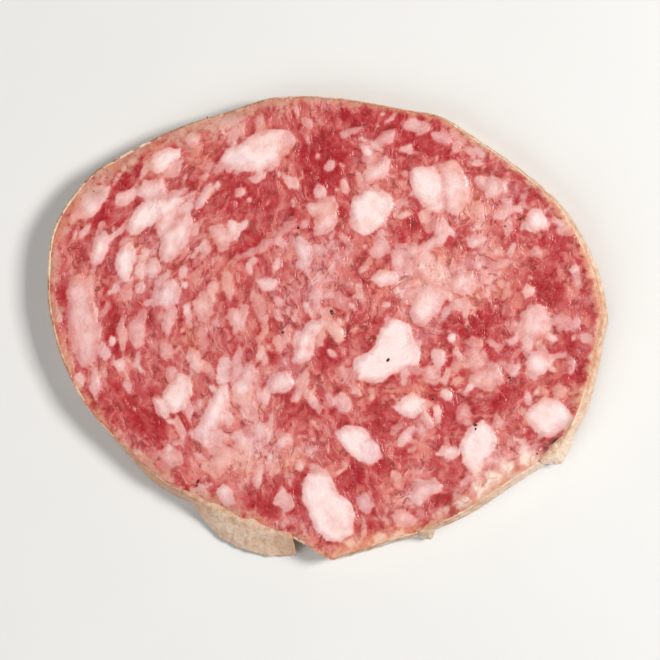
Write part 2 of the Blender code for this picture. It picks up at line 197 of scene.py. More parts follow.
    (0.40, [(12.8, 24.9), (14.4, 25.5), (15.5, 24.8), (15.3, 23.7), (13.5, 23.9)]),
    (0.60, [(23.6, -16.2), (24.4, -15.3), (25.6, -15.6), (26.0, -16.7), (25.2, -17.4), (24.0, -17.2)]),
    (0.50, [(20.3, -19.4), (20.9, -18.3), (22.2, -18.2), (22.6, -19.1), (21.8, -20.0), (20.8, -20.1)]),
    (0.50, [(24.2, 0.2), (24.3, 2.1), (25.6, 3.4), (27.0, 3.0), (27.7, 1.4), (27.2, -0.4), (25.9, -1.2),
        (24.8, -0.8)]),
    (0.40, [(28.3, 1.4), (29.4, 2.2), (30.6, 1.5), (30.4, 0.2), (29.0, -0.1)]),
    (0.70, [(24.4, 5.0), (25.0, 6.0), (26.0, 5.5), (25.8, 4.4), (24.9, 4.2)]),
    (0.80, [(30.3, 7.8), (30.9, 8.5), (31.9, 8.1), (31.6, 7.3), (30.8, 7.2)]),
    (0.90, [(14.8, -0.9), (15.3, -0.2), (16.0, -0.6), (15.8, -1.4), (15.1, -1.5)]),
    (0.45, [(14.9, 5.9), (16.2, 7.3), (18.1, 7.4), (18.6, 6.1), (17.1, 4.9), (15.5, 4.8)]),
    (0.45, [(17.9, 15.4), (18.5, 16.5), (19.6, 16.1), (19.7, 14.9), (18.7, 14.4)]),
    (0.90, [(26.4, -17.2), (27.4, -15.9), (29.2, -14.7), (30.4, -13.3), (31.2, -12.9), (31.4, -13.4),
        (29.8, -15.6), (27.8, -17.4)]),
]

# Darker and paler lean: middle x and y, length and width in millimetres, turn in degrees, how much darker.
LEAN_PATCHES = [
    (-28.0, 1.5, 14.5, 2.4, 95, 0.9), (-1.0, 21.8, 8.0, 6.5, 60, 0.7), (2.5, 27.3, 6.5, 1.6, -5, 1.0),
    (11.8, 23.5, 2.4, 1.8, -40, 1.0), (18.8, 20.3, 2.2, 1.4, -60, 0.9), (21.4, 12.6, 2.8, 1.8, -50, 0.6),
    (9.7, 13.1, 4.4, 3.0, 60, 0.75), (-7.9, -1.2, 7.5, 2.8, 95, 0.7), (-0.6, -3.5, 5.5, 3.6, 70, 0.75),
    (1.2, 2.2, 3.5, 2.0, 20, 0.6), (22.4, -8.7, 4.2, 2.6, 35, 1.0), (26.6, 10.4, 8.5, 6.5, -60, 0.5),
    (28.6, 4.2, 5.5, 3.2, -20, 0.7), (-23.0, -12.4, 6.5, 3.6, -50, 0.7),
    (-27.4, -6.6, 4.0, 2.6, -70, 0.7), (-8.3, -22.3, 4.6, 2.8, -20, 1.0),
    (16.6, -21.9, 4.2, 2.0, -10, 0.95), (2.5, -18.6, 3.8, 2.6, 10, 0.8),
    (9.3, -15.7, 3.4, 2.4, -30, 0.75), (-12.0, 18.3, 6.0, 2.6, -20, 0.65),
    (-10.4, 11.1, 6.5, 4.0, 20, 0.55), (-25.6, 19.3, 5.0, 1.7, 42, 0.95),
    (-28.9, 15.3, 5.0, 1.8, 62, 0.95), (1.6, 6.3, 4.5, 2.6, 80, 0.4), (18.0, 0.3, 9.0, 6.0, 10, 0.4),
    (-18.1, -14.7, 7.5, 1.4, 95, 0.65), (6.0, -25.3, 5.0, 1.8, -5, 0.8),
    (-4.2, -25.7, 3.6, 1.6, -25, 1.0), (22.0, 13.1, 5.0, 3.5, -50, 0.5), (-23.1, 1.0, 3.2, 0.9, 100, 0.9),
    (-34.0, 4.9, 1.8, 1.1, 80, 0.9), (30.5, -1.6, 2.8, 1.4, -75, 0.9), (31.7, -6.0, 3.2, 1.0, -85, 0.9),
    (22.4, -14.2, 2.6, 0.9, -60, 0.8), (-4.2, 14.6, 2.6, 1.1, -50, 0.9), (24.0, 17.0, 1.8, 1.4, -50, 0.6),
    (14.5, 6.8, 11.5, 7.0, 10, -0.7), (-15.8, 3.4, 7.0, 5.0, 90, -0.25),
    (-22.0, -0.5, 8.0, 5.0, 90, -0.4), (26.3, 0.7, 6.0, 4.0, 80, -0.6), (25.0, -15.5, 6.5, 2.8, 40, -0.7),
    (-22.0, 12.5, 11.0, 8.0, 60, -0.7), (-9.5, -17.0, 8.0, 7.0, 0, -0.25),
    (14.7, -9.7, 4.0, 5.0, 0, -0.35), (-4.6, 19.6, 2.2, 6.0, 0, -0.3), (-0.6, -1.7, 3.4, 1.5, 90, 1.2),
    (16.2, 24.3, 6.0, 2.5, -25, -0.5), (12.6, 17.6, 9.0, 8.0, 0, -0.5), (19.0, -18.6, 9.0, 3.0, 25, -0.4),
]

# Cracked pepper and dark specks in the upper cut face: x, y and width in millimetres.
PEPPER = [
    (-4.8, 14.7, 0.55), (-4.0, 13.0, 0.5), (7.4, -3.8, 0.6), (22.9, -6.1, 0.5), (18.5, -12.1, 0.6),
    (0.2, 2.3, 0.7), (-6.0, -0.3, 0.55), (-16.8, -19.3, 0.7), (-13.2, -24.2, 0.5), (24.3, 14.1, 0.55),
    (26.3, -15.7, 0.4), (18.5, -12.6, 0.4), (23.0, -6.4, 0.45), (-17.0, -19.8, 0.45), (13.1, -8.8, 0.4),
    (22.3, 13.2, 0.35), (-30.0, 17.6, 0.4), (-15.6, 27.0, 0.4), (-29.8, 5.0, 0.35),
]
UNDERSIDE_PEPPER = 14

# Narrow cracks where the meat has come away from the skin: start, end and width in millimetres.
CRACKS = [((26.9, -15.2), (28.9, -13.8), 0.6), ((-5.0, -26.3), (-3.4, -27.0), 0.7)]

# The meat: the size of its mesh, the height of its relief, and the width of its rims.
MEAT_GRID = 0.3 * MM
FAT_RISE = 0.26 * MM
SMALL_FAT_RISE = 0.12 * MM
FAT_SHOULDER = 0.5 * MM
LEAN_RELIEF = 0.085 * MM
KNIFE_WAVE = 0.05 * MM
KNIFE_STEP = 4.2 * MM
KNIFE_BEND = 1.7
KNIFE_BEND_WIDTH = 19 * MM
CRACK_DEPTH = 0.5 * MM
FACE_LIP = 0.10 * MM
UNDERSIDE_HOLLOW = 0.07 * MM
RIM_WIDTH = 0.75 * MM
CREAM_WIDTH = 3.2 * MM

# The small fat: how many pieces, how far out they reach, and half the field that they are drawn in. Then the
# middle and spread of the logarithm of their length in millimetres, its limits, how many times longer than
# wide they are, and how white.
SMALL_FAT_COUNT = 620
SMALL_FAT_REACH = 0.965
SMALL_FAT_FIELD = (35, 29)
SMALL_FAT_LENGTH = (0.42, 0.45)
SMALL_FAT_LIMITS = (0.8, 4.0)
SMALL_FAT_SHAPE = (1.3, 3.2)
SMALL_FAT_WHITE = (0.48, 0.22)

# The skin: the band round the side first, then what has come loose from it.
SKIN_THICK = 0.34 * MM
SKIN_LENGTH = 208 * MM
SKIN_AROUND = 832
SKIN_ROWS = 14
SKIN_LIP = 0.06 * MM
SKIN_SUNK = 0.3 * MM
FOLD_DEPTH = 0.10 * MM
CREASE_DEPTH = 0.035 * MM
FLAP_THICK = 0.12 * MM
FLAP_LIP = 0.08 * MM
FLAP_GRID = (96, 26)
FLAP_SHEET = (14 * MM, 3 * MM)

VIEW_WIDTH = 84 * MM
SEED = 27


def fading(away, width):
    """1 where away is 0, falling off to both sides over this width."""
    return np.exp(-((away / width) ** 2))


def around(bearing, place):
    """1 at a place on the rim, falling off to both sides. Place is a bearing and a spread in degrees."""
    middle, spread = (math.radians(angle) for angle in place)
    return fading(np.angle(np.exp(1j * (bearing - middle))), spread)


def closed_curve(points, count):
    """`count` points, evenly spaced along the closed Catmull-Rom curve through these points."""
    p = np.array(points) * MM
    steps = 40
    t = (np.arange(steps) / steps)[:, None]
    spans = []
    for i in range(len(p)):
        a, b, c, d = (p[(i + k) % len(p)] for k in (-1, 0, 1, 2))
        bend = (2 * a - 5 * b + 4 * c - d) * t**2 + (3 * b - a - 3 * c + d) * t**3
        spans.append(0.5 * (2 * b + (c - a) * t + bend))
    line = np.concatenate(spans)
    line = line[np.argsort(np.unwrap(np.arctan2(line[:, 1], line[:, 0])))]
    looped = np.vstack([line, line[:1]])
    ends = np.concatenate([[0], np.cumsum(np.linalg.norm(np.diff(looped, axis=0), axis=1))])
    wanted = np.arange(count) / count * ends[-1]
    return np.column_stack([np.interp(wanted, ends, looped[:, k]) for k in (0, 1)])


def outward(line):
    """The unit normal of a closed anticlockwise line at each of its points."""
    along = np.roll(line, -1, axis=0) - np.roll(line, 1, axis=0)
    normal = np.column_stack([along[:, 1], -along[:, 0]])
    return normal / np.linalg.norm(normal, axis=1)[:, None]


def side_lines(edge):
    """The edges of the top face and of the underside, inside the widest line because the side leans."""
    normal = outward(edge)
    lean = normal @ np.array(SLANT)
    slack = around(np.arctan2(edge[:, 1], edge[:, 0]), SLACK)
    top = edge - normal * (EDGE_ROUND + np.maximum(lean, 0) + SLACK_INSET * slack)[:, None]
    under = edge - normal * (EDGE_ROUND + np.maximum(-lean, 0) * (1 - slack))[:, None]
    return top, under


def share_of(points, line):
    """How far each point is on its way from the middle to a closed line, from 0 to 1."""
    bearing = np.arctan2(line[:, 1], line[:, 0])
    radius = np.hypot(line[:, 0], line[:, 1])
    reach = np.interp(np.arctan2(points[:, 1], points[:, 0]), bearing, radius, period=2 * math.pi)
    return np.hypot(points[:, 0], points[:, 1]) / reach


def lift(share, bearing):
    """How far the curl raises a point at this share of the way to the edge."""
    outer = np.clip((share - FLAT_SHARE) / (1 - FLAT_SHARE), 0, 1)
    return CURL * outer**2 * np.cos(bearing - CURL_BEARING) ** 2


def step(value, low, high):
    """A smooth step from 0 at low to 1 at high, which may be the smaller of the two."""
    t = np.clip((value - low) / (high - low), 0, 1)
    return t * t * (3 - 2 * t)


def on_stretch(bearing, stretch):
    """1 on a stretch of the skin, with a smooth beginning and end."""
    degrees = np.degrees(bearing) % 360
    begins, ends = stretch
    return step(degrees, *begins) * step(degrees, *ends)


def soft_noise(points, size, seed):
    """Smooth noise from -1 to 1: random values on a square lattice of this size, blended between corners."""
    rows, columns, away_from_zero = 61, 67, 300
    table = np.random.default_rng(seed).uniform(-1, 1, (rows, columns))
    at = points / size + away_from_zero
    cell = np.floor(at).astype(int)
    t = at - cell
    t = t * t * (3 - 2 * t)
    corner = [
        [table[(cell[:, 0] + i) % rows, (cell[:, 1] + j) % columns] for j in (0, 1)]
        for i in (0, 1)
    ]
    near, far = (side[0] * (1 - t[:, 1]) + side[1] * t[:, 1] for side in corner)
    return near * (1 - t[:, 0]) + far * t[:, 0]


def warped(points, size, reach, seed):
    """The points pushed about by smooth noise, so that what is read at them has an uneven border."""
    push = np.column_stack([soft_noise(points, size, seed), soft_noise(points, size, seed + 1)])
    return points + reach * push


def depth_inside(points, corners):
    """How deep each point lies inside a closed outline, in metres, and below 0 outside."""
    corners = np.array(corners) * MM
    nearest = np.full(len(points), np.inf)
    inside = np.zeros(len(points), bool)
    for a, b in zip(corners, np.roll(corners, -1, axis=0)):
        side = b - a
        off = points - a
        t = np.clip(off @ side / (side @ side), 0, 1)
        nearest = np.minimum(nearest, np.linalg.norm(off - t[:, None] * side, axis=1))
        spans = (a[1] > points[:, 1]) != (b[1] > points[:, 1])
        rise = side[1] if abs(side[1]) > 1e-12 else 1e-12
        inside ^= spans & (points[:, 0] < a[0] + (points[:, 1] - a[1]) * side[0] / rise)
    return np.where(inside, nearest, -nearest)


def oval(points, x, y, long, wide, turn):
    """0 at the middle of an oval, 1 on its line, and more outside."""
    c, s = math.cos(turn), math.sin(turn)
    off = points - np.array([x, y])
    u = (off[:, 0] * c + off[:, 1] * s) / (long / 2)
    v = (off[:, 1] * c - off[:, 0] * s) / (wide / 2)
    return np.hypot(u, v)


def left_and_right(x):
    """How far a place counts as left, and how far as right, each from 0 in the middle to 1."""
    return np.clip((-x - 8 * MM) / (10 * MM), 0, 1), np.clip((x + 5 * MM) / (15 * MM), 0, 1)


def grain_turn(x, y, draw):
    """The way small pieces lie: round with the skin at the left, upright in the middle, any at the right."""
    left, right = left_and_right(x)
    round_rim = math.atan2(y, x) + math.pi / 2
    upright = math.pi / 2 + 0.15
    loose = draw.normal(0, 0.35 + 0.8 * right)
    return upright + left * np.angle(np.exp(2j * (round_rim - upright))) / 2 + loose


def grain_field(points):
    """The way of the fibres at each point, in radians, and how far each patch strays from it."""
    left, right = left_and_right(points[:, 0])
    return math.pi / 2 - left * np.arctan2(points[:, 1], np.abs(points[:, 0])), 0.8 + 2.2 * right


def small_fat(edge, seed):
    """Seeded small pieces of fat: x, y, length, width, turn and how white, in metres and radians."""
    draw = np.random.default_rng(seed)
    pieces = []
    while len(pieces) < SMALL_FAT_COUNT:
        x, y = (draw.uniform(-side, side) * MM for side in SMALL_FAT_FIELD)
        if share_of(np.array([[x, y]]), edge)[0] > SMALL_FAT_REACH:
            continue
        long = MM * np.clip(draw.lognormal(*SMALL_FAT_LENGTH), *SMALL_FAT_LIMITS)
        wide = long / draw.uniform(*SMALL_FAT_SHAPE)
        white = np.clip(draw.normal(*SMALL_FAT_WHITE), 0.05, 1.0)
        pieces.append((x, y, long, wide, grain_turn(x, y, draw), white))
    return pieces


def lean_tone(points, seed):
    """How pale the lean is at each point, from 0.1, dark crimson, to 1, pink."""
    tone = 0.47 + 0.23 * soft_noise(points, 5.2 * MM, seed) + 0.11 * soft_noise(points, 1.9 * MM, seed + 5)
    places = warped(points, 1.6 * MM, 0.45 * MM, seed + 9)
    for x, y, long, wide, turn, darker in LEAN_PATCHES:
        near = oval(places, x * MM, y * MM, long * MM, wide * MM, math.radians(turn))
        tone -= 0.38 * darker * (1 - step(near, 0.45, 1.35))
    return np.maximum(tone, 0.1)


def fat_field(points, edge, outlines, seed):
    """How deep each point is in fat, how deep in a large piece, how white that piece is, and the lean's tone.

    Small pieces grow a little where the lean is pale, and shrink or vanish where it is dark.
    """
    places = warped(warped(points, 1.6 * MM, 0.20 * MM, seed), 0.7 * MM, 0.06 * MM, seed + 3)
    depth = np.full(len(points), -3 * MM)
    white = np.zeros(len(points))
    for shade, corners in outlines:
        here = depth_inside(places, corners)
        white = np.where(here > depth, shade, white)
        depth = np.maximum(depth, here)
    large = depth.copy()
    tone = lean_tone(points, seed)
    grown = MM * (0.35 * np.clip(tone - 0.58, 0, 0.3) - 1.3 * np.clip(0.42 - tone, 0, 1))
    for x, y, long, wide, turn, shade in small_fat(edge, seed):
        near = np.flatnonzero(np.abs(places - np.array([x, y])).max(axis=1) < 0.8 * long)
        here = (1 - oval(places[near], x, y, long, wide, turn)) * wide / 2 + grown[near]
        white[near] = np.where(here > depth[near], shade, white[near])
        depth[near] = np.maximum(depth[near], here)
    return depth, large, white, tone


def underside_outlines():
    """The large pieces' outlines where they cross the underside: moved, turned, grown or shrunk a little."""
    draw = np.random.default_rng(SEED + 40)
    moved = []
    for shade, corners in FAT:
        line = np.array(corners)
        middle = line.mean(axis=0)
        turn = draw.normal(0, 0.35)
        grow = draw.uniform(0.55, 1.15)
        c, s = math.cos(turn) * grow, math.sin(turn) * grow
        moved.append((shade, (line - middle) @ np.array([[c, s], [-s, c]]) + middle + draw.normal(0, 1.1, 2)))
    return moved


def clear_selection():
    if bpy.context.object and bpy.context.object.mode != "OBJECT":
        bpy.ops.object.mode_set(mode="OBJECT")
    bpy.ops.object.select_all(action="DESELECT")


def named(name):
    """Names the object that an operator has just added, and returns it."""
    piece = bpy.context.object
    piece.name = name
    piece.data.name = name
    return piece


def points_of(piece):
    """The places of a mesh's vertices."""
    flat = np.empty(len(piece.data.vertices) * 3)
    piece.data.vertices.foreach_get("co", flat)
    return flat.reshape(-1, 3)


def move_points(piece, points):
    piece.data.vertices.foreach_set("co", points.ravel())
    piece.data.update()


def paint(piece, **fields):
    """Keeps values for each vertex under these names, for the material to read."""
    for name, values in fields.items():
        layer = piece.data.attributes.new(name, "FLOAT", "POINT")
        layer.data.foreach_set("value", values.astype(np.float32))


def apply_all(piece):
    """Applies a piece's modifiers in order and smooths it."""
    clear_selection()
    piece.select_set(True)
    bpy.context.view_layer.objects.active = piece
    for modifier in list(piece.modifiers):
        bpy.ops.object.modifier_apply(modifier=modifier.name)
    bpy.ops.object.shade_smooth()
    return piece


def with_wall(piece, thickness, even):
    """Gives a sheet its thickness, inward."""
    wall = piece.modifiers.new("wall", "SOLIDIFY")
    wall.thickness = thickness
    wall.offset = -1
    wall.use_even_offset = even
    return apply_all(piece)


def unit_cylinder(name, vertices, ends):
    """A cylinder of radius 1 that stands on z = 0 and is 1 high."""
    clear_selection()
    bpy.ops.mesh.primitive_cylinder_add(
        vertices=vertices, radius=1, depth=1, end_fill_type=ends, location=(0, 0, 0.5)
    )
    bpy.ops.object.transform_apply()
    return named(name)


def sample(line, at):
    """The points of a closed line of evenly spaced points at fractions of the way round."""
    at = (at % 1) * len(line)
    low = np.floor(at).astype(int) % len(line)
    t = (at - np.floor(at))[:, None]
    return line[low] * (1 - t) + line[(low + 1) % len(line)] * t


def cracks(flat):
    """How far each point lies in a narrow crack, from 0 to 1."""
    places = warped(flat, 0.8 * MM, 0.35 * MM, 3)
    split = np.zeros(len(flat))
    for start, end, wide in CRACKS:
        a, b = np.array(start) * MM, np.array(end) * MM
        t = np.clip((flat - a) @ (b - a) / ((b - a) @ (b - a)), 0, 1)
        away = np.linalg.norm(places - a - t[:, None] * (b - a), axis=1)
        split = np.maximum(split, 1 - step(away, 0.15 * wide * MM, 0.6 * wide * MM))
    return split


def meat_relief(flat, up, share, depth, large, split):
    """How far each point of the meat is raised by its fat, grain, knife marks and rim, less the cracks."""
    rise = FAT_RISE * step(large, -FAT_SHOULDER, FAT_SHOULDER)
    rise = np.maximum(rise, SMALL_FAT_RISE * step(depth, -0.3 * MM, 0.3 * MM))
    rough = soft_noise(flat, 1.15 * MM, 5) + 0.7 * soft_noise(flat, 0.62 * MM, 6)
    rough += 0.8 * soft_noise(flat, 2.6 * MM, 7)
    lean = 1 - 0.65 * step(depth, -0.2 * MM, 0.3 * MM)
    knife = np.sin(flat[:, 1] / KNIFE_STEP + KNIFE_BEND * np.sin(flat[:, 0] / KNIFE_BEND_WIDTH))
    relief = rise + LEAN_RELIEF * lean * rough + KNIFE_WAVE * knife
    relief = relief * np.clip((FACE_EDGE - share) / RIM_FADE, 0, 1) - CRACK_DEPTH * split
    relief += FACE_LIP * step(share, 0.955, FACE_EDGE)
    hollow = UNDERSIDE_HOLLOW * (1 - step(depth, -0.2 * MM, 0.2 * MM)) * (1 - step(up, 0.02, 0.2))
    return relief * step(up, 0.8, 0.98) + hollow


def meat_body(edge, top, under):
    """The meat: a short cylinder drawn out to the two outlines, remeshed evenly, then given its relief."""
    normal = outward(edge)
    meat = unit_cylinder("meat", len(edge), "NGON")
    points = points_of(meat)
    turn = np.arctan2(points[:, 1], points[:, 0]) / (2 * math.pi)
    number = np.round(turn * len(edge)).astype(int) % len(edge)
    high = points[:, 2] > 0.5
    inner_top = top - normal * 0.35 * SKIN_THICK
    inner_under = under - normal * 0.7 * SKIN_THICK
    flat = np.where(high[:, None], inner_top[number], inner_under[number])
    move_points(meat, np.column_stack([flat, np.where(high, THICKNESS, 0)]))
    meat.data.remesh_voxel_size = MEAT_GRID
    meat.data.use_remesh_fix_poles = False
    bpy.ops.object.voxel_remesh()

    points = points_of(meat)
    flat = points[:, :2].copy()
    up = np.clip(points[:, 2] / THICKNESS, 0, 1)
    is_top = up > 0.5
    bearing = np.arctan2(flat[:, 1], flat[:, 0])
    share = np.maximum(np.where(is_top, share_of(flat, top), share_of(flat, under)), 0.01)
    above = fat_field(flat, edge, FAT, SEED)
    below = fat_field(flat, edge, underside_outlines(), SEED + 70)
    depth, large, white, tone = (np.where(is_top, a, b) for a, b in zip(above, below))
    # The cracks are cut into the relief, and the material darkens them with painted shade.
    split = cracks(flat)
    points[:, 2] += lift(share, bearing) + meat_relief(flat, up, share, depth, large, split)
    move_points(meat, points)

    rim = (1 / share - 1) * np.hypot(flat[:, 0], flat[:, 1])
    grey, tan = around(bearing, GREY_RIM), around(bearing, TAN_RIM)
    rim_width = (RIM_WIDTH + 2.0 * MM * grey + 1.1 * MM * tan) * (1 + 0.4 * soft_noise(flat, 2.4 * MM, 11))
    gold_below, gold_beside = around(bearing, GOLDEN_BELOW), around(bearing, GOLDEN_BESIDE)
    golden = np.maximum(gold_below, 0.8 * gold_beside)
    grain, stray = grain_field(flat)
    paint(
        meat,
        grain=grain,
        stray=stray,
        fat=depth / MM,
        white=white,
        lean=tone,
        dry=fading(rim, rim_width) * (1 - 0.85 * around(bearing, MOIST_CORNER)),
        grey_rim=np.maximum(grey, 0.6 * tan),
        split=split * is_top,
        cream=fading(rim, CREAM_WIDTH) * around(bearing, CREAM_BORDER) * is_top,
        golden=golden * fading(rim, RIM_WIDTH + 1.2 * MM * gold_below) * is_top,
    )
    return apply_all(meat)


def skin_band(edge, top, under):
    """The skin round the side: an open cylinder cut into rows, drawn to the side, creased and thickened."""
    band = unit_cylinder("skin_band", SKIN_AROUND, "NOTHING")
    heights = points_of(band)[:, 2]
    bpy.ops.object.mode_set(mode="EDIT")
    bpy.ops.mesh.select_mode(type="EDGE")
    bpy.ops.mesh.select_all(action="DESELECT")
    bpy.ops.object.mode_set(mode="OBJECT")
    for line in band.data.edges:
        line.select = abs(heights[line.vertices[0]] - heights[line.vertices[1]]) > 0.5
    bpy.ops.object.mode_set(mode="EDIT")
    bpy.ops.mesh.subdivide(number_cuts=SKIN_ROWS - 1)
    bpy.ops.object.mode_set(mode="OBJECT")

    points = points_of(band)
    at = (np.arctan2(points[:, 1], points[:, 0]) / (2 * math.pi)) % 1
    up = points[:, 2]
    foot, head, out = sample(under, at), sample(top, at), sample(outward(edge), at)
    bearing = np.arctan2(head[:, 1], head[:, 0])
    arc = at * SKIN_LENGTH
    place = np.column_stack([arc, up * THICKNESS])
    folds = 0.6 * soft_noise(place * [1, 0.22], 0.9 * MM, 21)
    folds += 0.4 * soft_noise(place * [1, 0.4], 0.42 * MM, 22)
    creases = soft_noise(place * [0.25, 1], 0.7 * MM, 23)
    inward = FOLD_DEPTH * (folds + 0.55) + CREASE_DEPTH * (creases + 0.5)
    bulge = (EDGE_ROUND + SIDE_BULGE) * np.sin(math.pi * up)
    push = bulge - inward * np.sin(math.pi * (0.12 + 0.76 * up))
    flat = foot * (1 - up)[:, None] + head * up[:, None] + out * push[:, None]
    way = np.column_stack([arc, arc])
    ragged = 0.08 * MM * soft_noise(way, 1.3 * MM, 24) + 0.05 * MM * soft_noise(way, 0.5 * MM, 25)
    tall = up * (THICKNESS + SKIN_LIP - SKIN_SUNK * on_stretch(bearing, SUNK_SKIN))
    tall += lift(np.ones(len(up)), bearing) + ragged * step(up, 0.8, 1)
    move_points(band, np.column_stack([flat, tall]))
    paint(
        band,
        up=up,
        pale=0.75 * around(bearing, PALE_SKIN),
        # Darker tan on the lower left: partly the skin's own colour, partly painted shade.
        tanned=0.6 * on_stretch(bearing, TAN_AND_SHADE_SKIN),
        grain=bearing,
    )
    return with_wall(band, SKIN_THICK, True)


def skin_flap(name, edge, top, pale, taper, inset, seed):
    """A piece of skin come away from the side: a grid from just inside the cut edge to its free edge.

    It comes out from under the meat inset millimetres inside the top line, passes over that line, and then
    falls. It narrows to nothing over the two shares of its length in taper.
    """
    (first, last), swing, free_height, reach = LOOSE_SKIN[name]
    across, outwards = FLAP_GRID
    clear_selection()
    bpy.ops.mesh.primitive_grid_add(
        x_subdivisions=across, y_subdivisions=outwards, size=1, location=(0.5, 0.5, 0)
    )
    bpy.ops.object.transform_apply()
    flap = named(name)
    points = points_of(flap)
    s, t = points[:, 0], points[:, 1]
    bearing = np.degrees(np.unwrap(np.arctan2(edge[:, 1], edge[:, 0])))
    at = first + (last + swing * t - first) * s
    head, rim, out = (
        np.column_stack([np.interp(at, bearing, line[:, k]) for k in (0, 1)])
        for line in (top, edge, outward(edge))
    )
    shares, reaches = zip(*reach)
    far = np.interp(s, shares, reaches) * MM
    place = np.column_stack([s, t]) * FLAP_SHEET
    along = place * [1, 0]
    tear = 0.13 * MM * soft_noise(along, 0.9 * MM, seed) + 0.06 * MM * soft_noise(along, 0.3 * MM, seed + 3)
    free = rim + out * (far + tear * step(far, 0.1 * MM, 0.7 * MM))[:, None]
    under_meat = inset * MM * (1 + 0.6 * soft_noise(along, 1.5 * MM, seed + 7))
    root = head - out * under_meat[:, None]
    narrowed = np.ones(len(s))
    for from_end, share in ((s, taper[0]), (1 - s, taper[1])):
        if share:
            narrowed = np.minimum(narrowed, from_end / share)
    span = np.linalg.norm(free - head, axis=1)
    passed = t * (under_meat + span * narrowed**0.7)
    beyond = np.maximum(passed - under_meat, 0)
    way = (free - head) / span[:, None]
    flat = root + out * np.minimum(passed, under_meat)[:, None] + way * beyond[:, None]
    high = THICKNESS + FLAP_LIP + lift(np.ones(len(s)), np.radians(at))
    fall = beyond / span
    folds = 0.15 * MM * soft_noise(place * [1, 0.3], 1.2 * MM, seed + 1)
    folds += 0.05 * MM * soft_noise(place, 0.5 * MM, seed + 2)
    dive = 0.2 * MM * (1 - step(passed, 0, 0.7 * under_meat))
    tall = high - dive + (free_height * MM - high) * fall**1.1 + folds * step(fall, 0.1, 0.7)
    move_points(flap, np.column_stack([flat, tall]))
    paint(
        flap,
        up=0.74 - 0.28 * step(fall, -0.05, 0.2),
        pale=pale * step(fall, 0.0, 0.3),
        # Darker tan at the flap's ends: partly the skin's own colour, partly painted shade.
        tanned=0.6 * (1 - pale) * (step(s, 0.35, 0.1) + step(s, 0.72, 0.95)),
        grain=np.arctan2(out[:, 1], out[:, 0]) + 0.6 * (s - 0.5),
    )
    return with_wall(flap, FLAP_THICK, False)


def pepper_grains(top_height, seed):
    """The cracked pepper: small faceted grains, pressed into both cut faces, as one piece."""
    draw = np.random.default_rng(seed)
    places = [(x * MM, y * MM, 0.85 * wide * MM, top_height(x * MM, y * MM)) for x, y, wide in PEPPER]
    while len(places) < len(PEPPER) + UNDERSIDE_PEPPER:
        x, y = draw.uniform(-27, 27) * MM, draw.uniform(-21, 21) * MM
        if np.hypot(x / 30, y / 24) < 0.6 * MM:
            places.append((x, y, draw.uniform(0.35, 0.7) * MM, 0.0))
    clear_selection()
    grains = []
    for x, y, wide, height in places:
        bpy.ops.mesh.primitive_ico_sphere_add(subdivisions=2, radius=wide / 2, location=(x, y, height))
        grain = bpy.context.object
        grain.scale = (draw.uniform(0.8, 1.3), draw.uniform(0.5, 0.9), 0.3)
        grain.rotation_euler = (0, 0, draw.uniform(0, math.pi))
        bpy.ops.object.transform_apply()
        points = points_of(grain)
        middle = np.array([x, y, height])
        points = middle + (points - middle) * draw.uniform(0.65, 1.15, len(points))[:, None]
        points[:, 2] = np.maximum(points[:, 2], 0.0)
        move_points(grain, points)
        grains.append(grain)
    for grain in grains:
        grain.select_set(True)
    bpy.context.view_layer.objects.active = grains[0]
    bpy.ops.object.join()
    return named("pepper_grains")


def srgb(colour):
    """A colour as a screen shows it, from 0 to 255, in the linear values that a shader takes."""
    screen = [c / 255 for c in colour]
    return tuple(c / 12.92 if c <= 0.04045 else ((c + 0.055) / 1.055) ** 2.4 for c in screen) + (1,)


def put(tree, kind, inputs=(), **settings):
    """Adds a node. Inputs maps a socket's name or number to a value or to another node's output."""
    node = tree.nodes.new("ShaderNode" + kind)
    for name, value in settings.items():
        setattr(node, name, value)
    for key, value in dict(inputs).items():
        if isinstance(value, bpy.types.NodeSocket):
            tree.links.new(value, node.inputs[key])
        else:
            node.inputs[key].default_value = value
    return node


def maths(tree, operation, a, b=0.0, c=0.0):
    return put(tree, "Math", {0: a, 1: b, 2: c}, operation=operation).outputs[0]


def times(tree, a, b):
    return maths(tree, "MULTIPLY", a, b)


def added(tree, value, other, amount):
    """A value with another one added, times this amount."""
    return maths(tree, "MULTIPLY_ADD", other, amount, value)


def swayed(tree, value, other, amount):
    """A value moved by half the amount, down where the other one is 0 and up where it is 1."""
    return added(tree, maths(tree, "SUBTRACT", value, amount / 2), other, amount)


def between(tree, value, low, high, to_low=0.0, to_high=1.0):
    """A value that passes smoothly from to_low to to_high as another passes from low to high."""
    ends = {"Value": value, "From Min": low, "From Max": high, "To Min": to_low, "To Max": to_high}
    return put(tree, "MapRange", ends, interpolation_type="SMOOTHSTEP").outputs[0]


def mixed(tree, share, first, second):
    """Two colours mixed, all the second where share is 1. Each is a node's output or as a screen shows it."""
    ends = [end if isinstance(end, bpy.types.NodeSocket) else srgb(end) for end in (first, second)]
    return put(tree, "Mix", {0: share, 6: ends[0], 7: ends[1]}, data_type="RGBA").outputs[2]


def layered(tree, colour, *layers):
    """A colour with others laid over it in turn, from these (share, colour) pairs."""
    for share, above in layers:
        colour = mixed(tree, share, colour, above)
    return colour


def graded(tree, value, stops):
    """A colour picked by a value from these (place, colour) stops."""
    node = put(tree, "ValToRGB", {0: value})
    ramp = node.color_ramp
    while len(ramp.elements) < len(stops):
        ramp.elements.new(0.5)
    for element, (place, colour) in zip(ramp.elements, stops):
        element.position = place
        element.color = srgb(colour)
    return node.outputs[0]


def attribute(tree, name):
    return put(tree, "Attribute", attribute_name=name).outputs["Fac"]


